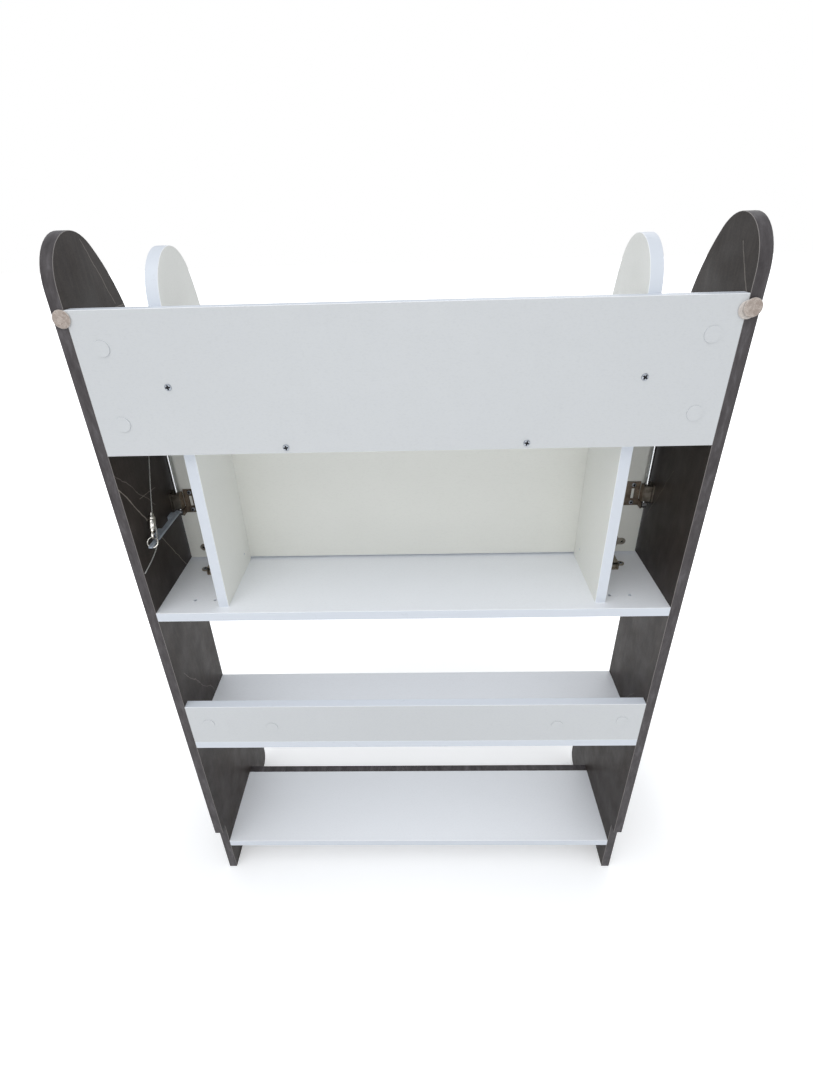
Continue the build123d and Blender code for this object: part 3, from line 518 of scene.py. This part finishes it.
def cross_recess_head(mesh, point, direction, radius, height):
    """Domed head with a cross recess, standing on a point and pointing out along a direction."""
    out = Vector(direction).normalized()
    basis = out.to_track_quat("Z", "Y").to_matrix() @ Matrix.Rotation(random.uniform(0, 1.5), 3, "Z")
    arm = radius * RECESS_ARM
    slot = radius * RECESS_SLOT
    depth = height * 0.9
    steps = 48
    outline = []
    for step in range(steps):
        angle = 2 * math.pi * step / steps
        cx, cy = math.cos(angle), math.sin(angle)
        if abs(cx) * slot >= abs(cy) * arm * 0.999 or abs(cy) * slot >= abs(cx) * arm * 0.999:
            reach = arm / max(abs(cx), abs(cy))
        else:
            reach = min(slot / min(abs(cx), abs(cy)), arm / max(abs(cx), abs(cy)))
        outline.append((min(reach, radius * 0.75) * cx, min(reach, radius * 0.75) * cy))

    def ring(scale_points, level):
        return [mesh.verts.new(point + basis @ Vector((x, y, level))) for x, y in scale_points]

    def circle(size):
        turns = [2 * math.pi * step / steps for step in range(steps)]
        return [(size * math.cos(turn), size * math.sin(turn)) for turn in turns]

    loops = [
        ring(circle(radius), 0.0),
        ring(circle(radius), height * 0.30),
        ring(circle(radius * 0.93), height * 0.72),
        ring(circle(radius * 0.80), height * 0.95),
        ring(outline, height),
        ring([(x * 0.8, y * 0.8) for x, y in outline], height - depth),
    ]
    for low, high in zip(loops, loops[1:]):
        for step in range(steps):
            after = (step + 1) % steps
            mesh.faces.new((low[step], low[after], high[after], high[step]))
    floor_face = mesh.faces.new(loops[-1])
    # Painted shade: the recess floor and its walls take the second slot, the near-black recess metal.
    floor_face.material_index = 1
    for edge in floor_face.edges:
        for face in edge.link_faces:
            face.material_index = 1
    mesh.faces.new(loops[0][::-1])


def screw_shank(mesh, point, direction, radius, length):
    """Threaded shank going in from a point."""
    profile = [(0, 0.0)]
    turns = int(length / (1.6 * MM))
    for turn in range(turns):
        low = length * turn / turns
        profile += [(radius, low), (radius * 0.78, low + length * 0.5 / turns)]
    profile += [(radius * 0.5, length * 0.985), (0, length)]
    lathe(mesh, profile, Vector(point), direction, 20)


def screw_group(name, node, body, places, radius, height, shank, length, material):
    """Replaces a CAD screw group with heads that have a recess and threaded shanks."""
    mesh = bmesh.new()
    for point, inward in places:
        inward = Vector(inward)
        cross_recess_head(mesh, point, -inward, radius, height)
        screw_shank(mesh, point, inward, shank, length)
    piece = finish_mesh(name, mesh, material, body, smooth=False)
    # Painted shade: second slot for the dark recess faces.
    piece.data.materials.append(RECESS_PAINTED_SHADE)
    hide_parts(node)


SIDES = (-1, 1)
FORWARD = (0, 1, 0)
DOWNWARD = (0, 0, -1)
HINGE_X = 345.0
CUP_HEIGHT = 25.5
CUP_SCREW_REACH = 24.0
FLAP_FACE = 159.2
WING_SCREW_REACH = 16.0
WING_DEPTH = 126.0
WING_TOP = 2.0
BRACKET_X = 372.0
BRACKET_FACE = 158.0
BRACKET_SCREW_HEIGHTS = (102.5, 134.5)
REAR_SCREWS = ((-297.0, 355.0), (297.0, 355.0), (-158.5, 272.0), (158.5, 272.0))
rear_places = [(at(x, 0.0, height), FORWARD) for x, height in REAR_SCREWS]
screw_group("rear_screws_cross", "rear_screws", "cabinet", rear_places,
            4.5 * MM, 1.5 * MM, 2.0 * MM, 40 * MM, ZINC)
cup_places = [
    (at(side * HINGE_X + end * CUP_SCREW_REACH, FLAP_FACE, CUP_HEIGHT), FORWARD)
    for side in SIDES for end in SIDES
]
screw_group("cup_screws_cross", "cup_screws", "flap", cup_places,
            3.2 * MM, 1.0 * MM, 1.6 * MM, 11 * MM, NICKEL)
wing_places = [
    (at(side * HINGE_X + end * WING_SCREW_REACH, WING_DEPTH, WING_TOP), DOWNWARD)
    for side in SIDES for end in SIDES
]
screw_group("hinge_base_screws_cross", "hinge_base_screws", "cabinet", wing_places,
            3.4 * MM, 1.0 * MM, 1.6 * MM, 14 * MM, ZINC)
plate_places = [
    (at(side * BRACKET_X, BRACKET_FACE, height), FORWARD)
    for side in SIDES for height in BRACKET_SCREW_HEIGHTS
]
screw_group("bracket_screws_cross", "bracket_screws", "flap", plate_places,
            3.6 * MM, 1.4 * MM, 1.6 * MM, 12 * MM, ZINC)

# Edge softening on the fittings and the boards
BOARD_ENDINGS = ("shelf", "top_board", "kickboard", "flap", "rail", "rear_panel")
BOARD_STARTS = ("side_", "divider_l", "divider_r")
FITTING_STARTS = ("hinge_", "stay_b", "stay_rod", "cable_b", "cable_h", "cable_f")
FITTING_EDGE = 0.25 * MM
BOARD_EDGE = 0.5 * MM
for name, node in NODES.items():
    if name.startswith(FITTING_STARTS) and "screws" not in name:
        add_bevel(node, FITTING_EDGE)
    if name.endswith("cover_caps"):
        add_bevel(node, BOARD_EDGE, 3)
    if name.endswith(BOARD_ENDINGS) or name.startswith(BOARD_STARTS):
        add_bevel(node, BOARD_EDGE, 1)


# Thin rings round the cover caps
def cap_rings(name, centres):
    """Thin ring at the foot of each cover cap, darker than the board, in place of the gap's shadow."""
    mesh = bmesh.new()
    for centre in centres:
        lathe(mesh, [(9.85 * MM, 0), (9.95 * MM, 0.14 * MM), (10.25 * MM, 0.10 * MM), (10.35 * MM, 0)],
              centre, (0, -1, 0), 64)
    finish_mesh(name, mesh, GAP, "cabinet")


PANEL_CAPS = ((-367.5, 404.0), (367.5, 404.0), (-367.5, 308.0), (367.5, 308.0))
RAIL_CAPS = ((-365.0, -246.0), (365.0, -246.0), (-253.0, -255.5), (253.0, -255.5))
cap_rings("panel_cap_gaps", [at(x, 0.0, height) for x, height in PANEL_CAPS])
cap_rings("rail_cap_gaps", [at(x, 0.0, height) for x, height in RAIL_CAPS])

# Cable
RUN = Vector((0.0, 0.45, 0.893))
CABLE_X = -390.0
GRIP_LENGTH = 29.0 * MM
ANCHOR_REACH = 138.0 * MM
HOOK_DROP = 17.0 * MM
HOOK_RADIUS = 8.0 * MM
RING_START = 100
RING_SWEEP = 295
RING_STEPS = 40
THICK_STEP = 26
CABLE_RADIUS = 0.8 * MM
grip_head = at(CABLE_X, 52.0, 153.0)
grip_foot = grip_head - GRIP_LENGTH * RUN
anchor = grip_head + ANCHOR_REACH * RUN
route = [
    anchor + 5.0 * MM * RUN,
    grip_head - 4.0 * MM * RUN,
    at(-385.8, 46.6, 140.6),
    at(-384.2, 42.1, 127.8),
    at(-384.4, 37.7, 115.4),
    at(-385.6, 31.5, 102.8),
    at(-389.0, 22.0, 93.0),
    at(-393.5, 10.5, 83.5),
    at(-398.2, 0.0, 75.5),
]
curve = bpy.data.curves.new("steel_cable_line", "CURVE")
curve.dimensions = "3D"
curve.bevel_depth = CABLE_RADIUS
curve.bevel_resolution = 4
curve.resolution_u = 16
curve.use_fill_caps = True
spline = curve.splines.new("NURBS")
spline.points.add(len(route) - 1)
for point, place in zip(spline.points, route):
    point.co = (*place, 1.0)
spline.order_u = 3
spline.use_endpoint_u = True
curve.materials.append(CABLE)
cable = bpy.data.objects.new("steel_cable_stranded", curve)
bpy.context.scene.collection.objects.link(cable)
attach(cable, "cabinet")
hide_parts("stay_cable")


def gripper_piece():
    """Adjustable gripper: cone nose, turned barrel with grooves, swivel collar."""
    mesh = bmesh.new()
    collar = [(0, 0), (3.2, 0), (3.6, 0.4), (3.6, 3.1), (4.4, 3.5), (5.2, 4.1), (5.5, 4.6), (5.5, 6.4)]
    barrel = [(5.25, 6.6), (5.25, 7.0), (5.5, 7.2), (5.5, 18.4), (5.2, 18.6), (5.2, 19.2)]
    nose = [(5.5, 19.4), (5.5, 20.6), (5.1, 21.4), (4.4, 22.0), (3.4, 24.4), (2.5, 27.0)]
    tip = [(2.1, 28.7), (1.7, 29.0)]
    mouth = [(1.15, 29.0), (1.1, 26.0), (0, 26.0)]
    profile = collar + barrel + nose + tip + mouth
    lathe(mesh, [(r * MM, h * MM) for r, h in profile], grip_foot, RUN, 48)
    return finish_mesh("cable_gripper_turned", mesh, BRIGHT, "cabinet")


def snap_hook_piece():
    """Small snap hook: open ring of round wire, a gate across the opening and a turned swivel."""
    mesh = bmesh.new()
    centre = grip_foot - HOOK_DROP * RUN
    side = Vector((1, 0, 0))
    wire = []
    for step in range(RING_STEPS + 1):
        angle = math.radians(RING_START + RING_SWEEP * step / RING_STEPS)
        size = HOOK_RADIUS * (1.0 + 0.04 * math.sin(2 * angle))
        wire.append(centre + size * (math.cos(angle) * side + math.sin(angle) * RUN))
    sizes = [(1.5 - 0.35 * abs(step - THICK_STEP) / THICK_STEP) * MM for step in range(RING_STEPS + 1)]
    tube(mesh, wire, sizes, 16)
    start = wire[-1]
    end = wire[2]
    gate = [start.lerp(end, t / 8) + 0.5 * MM * math.sin(math.pi * t / 8) * side for t in range(9)]
    tube(mesh, gate, 1.0 * MM, 12)
    lathe(mesh, [(0, 0), (1.9 * MM, 0), (2.4 * MM, 1.0 * MM), (2.2 * MM, 2.4 * MM), (3.2 * MM, 3.2 * MM),
                 (3.2 * MM, 5.6 * MM), (2.3 * MM, 6.4 * MM), (2.1 * MM, 9.4 * MM), (0, 9.6 * MM)],
          grip_foot - 9.4 * MM * RUN, RUN, 28)
    return finish_mesh("snap_hook_wire", mesh, BRIGHT, "cabinet")


gripper = gripper_piece()
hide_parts("cable_gripper")
hook = snap_hook_piece()
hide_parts("snap_hook")


# Floor, light, camera
def floor_piece():
    """Pale floor that keeps the soft shadow of the desk."""
    data = bpy.data.meshes.new("floor")
    size = 14.0
    corners = [(-size, -size, 0), (size, -size, 0), (size, size, 0), (-size, size, 0)]
    data.from_pydata(corners, [], [(0, 1, 2, 3)])
    floor = bpy.data.objects.new("floor", data)
    bpy.context.scene.collection.objects.link(floor)
    m = Nodes("pale_floor")
    tone = m.ramp(m.noise(1.2, 3.0), [(0.3, (0.90, 0.90, 0.90)), (0.7, (0.93, 0.93, 0.93))])
    m.link(tone, m.shader.inputs["Base Color"])
    m.set(Roughness=0.9)
    path = m.node("ShaderNodeLightPath")
    seen = m.maths("MAXIMUM", path.outputs["Is Camera Ray"],
                   m.maths("MAXIMUM", path.outputs["Is Glossy Ray"], path.outputs["Is Transmission Ray"]))
    place = m.split(m.coords.outputs["Object"])
    reach = m.maths("SQRT", m.maths("ADD", m.maths("MULTIPLY", place[0], place[0]),
                                    m.maths("MULTIPLY", place[1], place[1])))
    far = m.maths("MULTIPLY", m.maths("SUBTRACT", reach, 0.55), 1.4, clamp=True)
    glow = m.maths("MULTIPLY", seen, m.maths("ADD", 0.30, m.maths("MULTIPLY", far, 0.70)))
    m.set(Emission_Color=(1.0, 1.0, 1.0, 1.0))
    m.link(glow, m.shader.inputs["Emission Strength"])
    data.materials.append(m.material)


floor_piece()

world = bpy.data.worlds.new("studio")
bpy.context.scene.world = world
world.use_nodes = True
nodes = world.node_tree.nodes
links = world.node_tree.links
background = nodes["Background"]
background.inputs["Color"].default_value = (0.93, 0.96, 1.0, 1.0)
background.inputs["Strength"].default_value = 0.66
white = nodes.new("ShaderNodeBackground")
white.inputs["Color"].default_value = (1.0, 1.0, 1.0, 1.0)
white.inputs["Strength"].default_value = 1.0
path = nodes.new("ShaderNodeLightPath")
either = nodes.new("ShaderNodeMath")
either.operation = "MAXIMUM"
links.new(path.outputs["Is Camera Ray"], either.inputs[0])
links.new(path.outputs["Is Transmission Ray"], either.inputs[1])
blend = nodes.new("ShaderNodeMixShader")
links.new(either.outputs[0], blend.inputs[0])
links.new(background.outputs[0], blend.inputs[1])
links.new(white.outputs[0], blend.inputs[2])
links.new(blend.outputs[0], nodes["World Output"].inputs["Surface"])


def area_light(name, place, target, size, power, colour):
    """Soft box aimed at a point."""
    data = bpy.data.lights.new(name, "AREA")
    data.shape = "DISK"
    data.size = size
    data.energy = power
    data.color = colour
    lamp = bpy.data.objects.new(name, data)
    bpy.context.scene.collection.objects.link(lamp)
    lamp.location = place
    lamp.rotation_euler = (Vector(target) - Vector(place)).to_track_quat("-Z", "Y").to_euler()


area_light("sky_box", (-0.8, -1.6, 3.6), (0.0, 0.0, 0.8), 3.2, 42.0, (0.97, 0.98, 1.0))
area_light("low_box", (0.0, -2.6, 1.15), (0.0, 0.0, 0.75), 1.8, 8.0, (1.0, 1.0, 0.99))
area_light("front_fill", (1.2, 2.6, 2.6), (0.0, 0.0, 0.6), 2.6, 14.0, (1.0, 0.99, 0.97))

YAW, PITCH, ROLL = (math.radians(value) for value in (-1.717, 30.321, 1.715))
FOCAL_PX = 579.9
PHOTO_WIDTH_PX = 813.0
SENSOR_WIDTH = 36.0
CAMERA_X = 0.0189
CAMERA_BACK = 0.722
CAMERA_RISE = 0.550
forward = Vector((math.sin(YAW) * math.cos(PITCH), math.cos(YAW) * math.cos(PITCH), -math.sin(PITCH)))
level = Vector((math.cos(YAW), -math.sin(YAW), 0.0))
sink = forward.cross(level)
right = level * math.cos(ROLL) + sink * math.sin(ROLL)
down = -level * math.sin(ROLL) + sink * math.cos(ROLL)
camera_data = bpy.data.cameras.new("camera")
camera_data.sensor_fit = "HORIZONTAL"
camera_data.sensor_width = SENSOR_WIDTH
camera_data.lens = FOCAL_PX * SENSOR_WIDTH / PHOTO_WIDTH_PX
camera_data.clip_start = 0.02
camera = bpy.data.objects.new("camera", camera_data)
bpy.context.scene.collection.objects.link(camera)
camera.matrix_world = Matrix((
    (right.x, -down.x, -forward.x, CAMERA_X),
    (right.y, -down.y, -forward.y, REAR - CAMERA_BACK),
    (right.z, -down.z, -forward.z, DESK + CAMERA_RISE),
    (0.0, 0.0, 0.0, 1.0),
))
bpy.context.scene.camera = camera
bpy.context.scene.view_settings.view_transform = "Standard"
